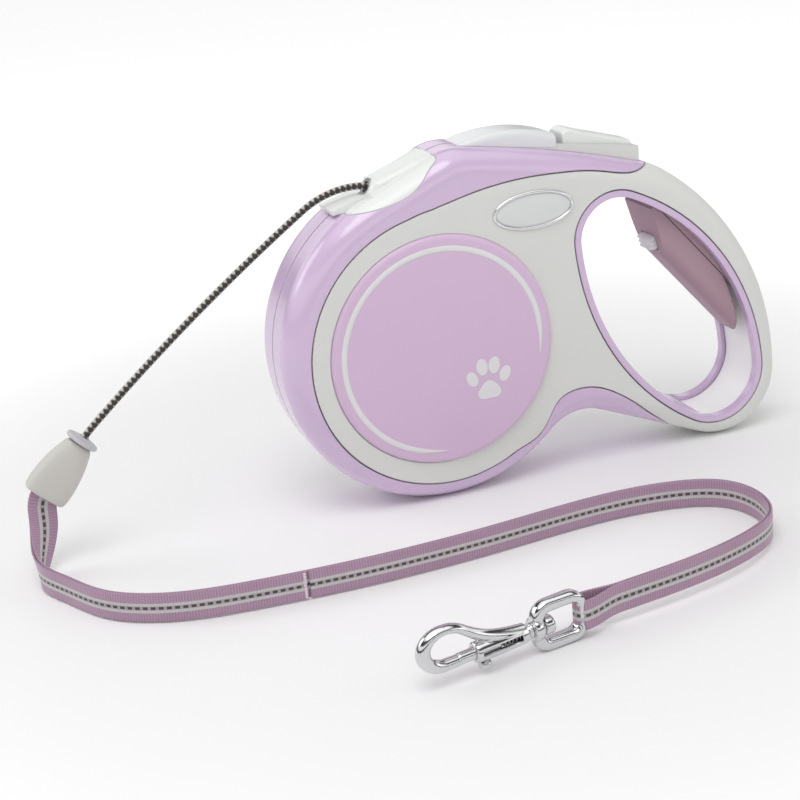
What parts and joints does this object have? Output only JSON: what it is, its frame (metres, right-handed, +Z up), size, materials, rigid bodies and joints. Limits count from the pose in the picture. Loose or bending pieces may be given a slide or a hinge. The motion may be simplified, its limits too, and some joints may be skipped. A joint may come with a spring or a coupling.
{
  "type": "retractable dog leash",
  "caption": "Retractable dog leash: a reel case with a hand loop and brake button, a cord leaving a nozzle, a webbing end and a bolt-snap hook.",
  "frame": {"origin": "centre of the left side disc's outer face, on the reel's axis", "axes": "+X from the cord side towards the hand loop, +Y from the left side disc to the right one along the reel axis, +Z up towards the brake button"},
  "size_m": [0.298, 0.1686, 0.133],
  "materials": {
    "skin": "soft-touch satin",
    "lilac": "glossy",
    "disc": "satin",
    "pale": "satin",
    "silver": "satin",
    "dark": "matte",
    "steel": "brushed",
    "spring": "blued",
    "chrome": "polished",
    "brass": "satin",
    "cord": "braided",
    "web": "ribbed webbing",
    "thread": "stitched",
    "connector": "satin",
    "collar": "satin",
    "mauve": "satin"
  },
  "bodies": {
    "case": {"case_left": "lilac", "case_right": "lilac", "soft_skin_left": "skin", "soft_skin_right": "skin", "case_screws": "steel", "badge_left": "silver", "badge_right": "silver", "side_disc_left": "disc", "side_disc_right": "disc", "cord_nozzle": "pale", "cord_bush": "steel", "brake_frame": "skin", "window_cover": "pale", "axle": "steel", "spring_arbor": "brass", "handle_liner": "pale", "grip_bed": "mauve", "brake_springs": "steel"},
    "reel": {"reel_drum": "dark", "reel_flange": "dark", "spring_lid": "steel", "main_spring": "spring", "wound_cord": "cord", "cord_anchor": "cord"},
    "brake_carrier": {"brake_bar": "dark"},
    "button": {"brake_button": "pale"},
    "grip": {"grip_slider": "mauve", "latch_spring": "steel"},
    "latch": {"grip_latch": "pale"},
    "leash": {"cord_run": "cord", "stop_collar": "collar", "connector_body": "connector", "cord_knot": "cord", "webbing": "web", "web_stitching": "thread", "swivel_eye": "chrome"},
    "hook": {"hook_body": "chrome", "bolt_spring": "steel"},
    "bolt": {"hook_bolt": "chrome"}
  },
  "joints": [
    {"name": "cord_pull", "type": "slide", "parent": "case", "child": "leash", "axis": [-1, 0, 0], "range_m": [-0.05956, 0.25015], "deforming": ["cord_run"]},
    {"name": "reel_spin", "type": "hinge", "parent": "case", "child": "reel", "pos_m": [0, 0.019, 0], "axis": [0, -1, 0], "range_deg": [-76, 316]},
    {"name": "brake_press", "type": "slide", "parent": "case", "child": "brake_carrier", "axis": [0, 0, -1], "range_m": [0, 0.0035], "stiffness_N_per_m": 800, "springref_m": -0.002, "deforming": ["brake_springs"]},
    {"name": "lock_slide", "type": "slide", "parent": "brake_carrier", "child": "button", "axis": [-1, 0, 0], "range_m": [0, 0.003]},
    {"name": "grip_slide", "type": "slide", "parent": "case", "child": "grip", "axis": [0.6561, 0, -0.7547], "range_m": [0, 0.008]},
    {"name": "latch_press", "type": "slide", "parent": "grip", "child": "latch", "axis": [0.9608, 0, 0.2773], "range_m": [0, 0.0012], "stiffness_N_per_m": 900, "springref_m": -0.001, "deforming": ["latch_spring"]},
    {"name": "hook_swivel", "type": "hinge", "parent": "leash", "child": "hook", "pos_m": [-0.0055, -0.119, -0.0502], "axis": [0.9842, 0.1736, 0.0344], "continuous": true},
    {"name": "bolt_slide", "type": "slide", "parent": "hook", "child": "bolt", "axis": [0.9842, 0.1736, 0.0344], "range_m": [0, 0.008], "stiffness_N_per_m": 400, "springref_m": -0.003, "deforming": ["bolt_spring"]}
  ],
  "couplings": [
    {"joint": "reel_spin", "follows": "cord_pull", "rad_per_m": 21.978}
  ]
}
